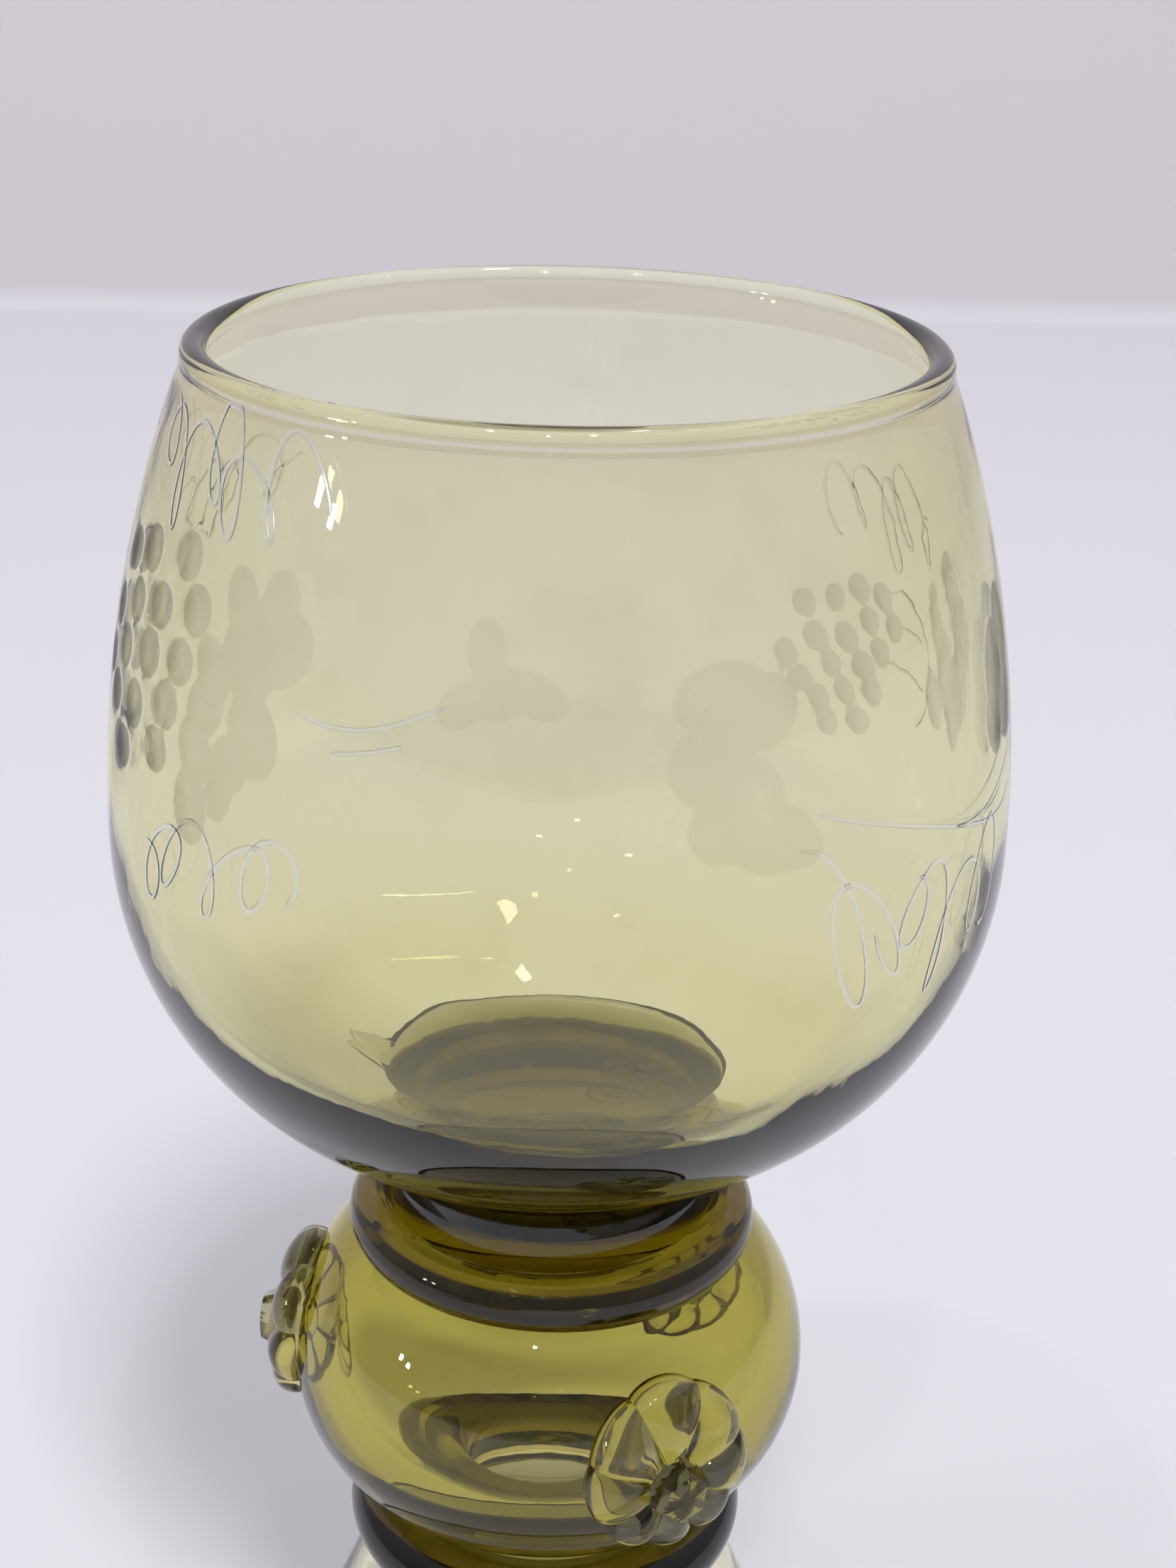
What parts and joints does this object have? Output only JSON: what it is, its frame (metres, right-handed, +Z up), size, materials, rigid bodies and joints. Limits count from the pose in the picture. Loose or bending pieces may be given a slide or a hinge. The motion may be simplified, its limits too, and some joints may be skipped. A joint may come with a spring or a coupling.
{
  "type": "roemer glass",
  "caption": "Roemer wine glass: olive blown bowl over a ringed, hollow bulb stem set with flower prunts, on a hollow spreading foot.",
  "frame": {"origin": "centre of the foot's rim in the plane it stands on", "axes": "+Z up along the axis of the glass, -Y towards the front of the picture, -X towards the prunt on the left"},
  "size_m": [0.0888, 0.0888, 0.172],
  "materials": {
    "foot_glass": "fire-polished olive glass",
    "thread_glass": "fire-polished olive glass",
    "stem_glass": "fire-polished olive glass",
    "prunt_glass": "stamped olive glass",
    "bowl_glass": "polished olive glass with matt wheel engraving"
  },
  "bodies": {
    "root": {"foot": "foot_glass", "lower_ring": "thread_glass", "bulb": "stem_glass", "prunt_right": "prunt_glass", "prunt_back": "prunt_glass", "prunt_left": "prunt_glass", "upper_ring": "thread_glass", "wafer": "stem_glass", "bowl": "bowl_glass"}
  },
  "joints": []
}
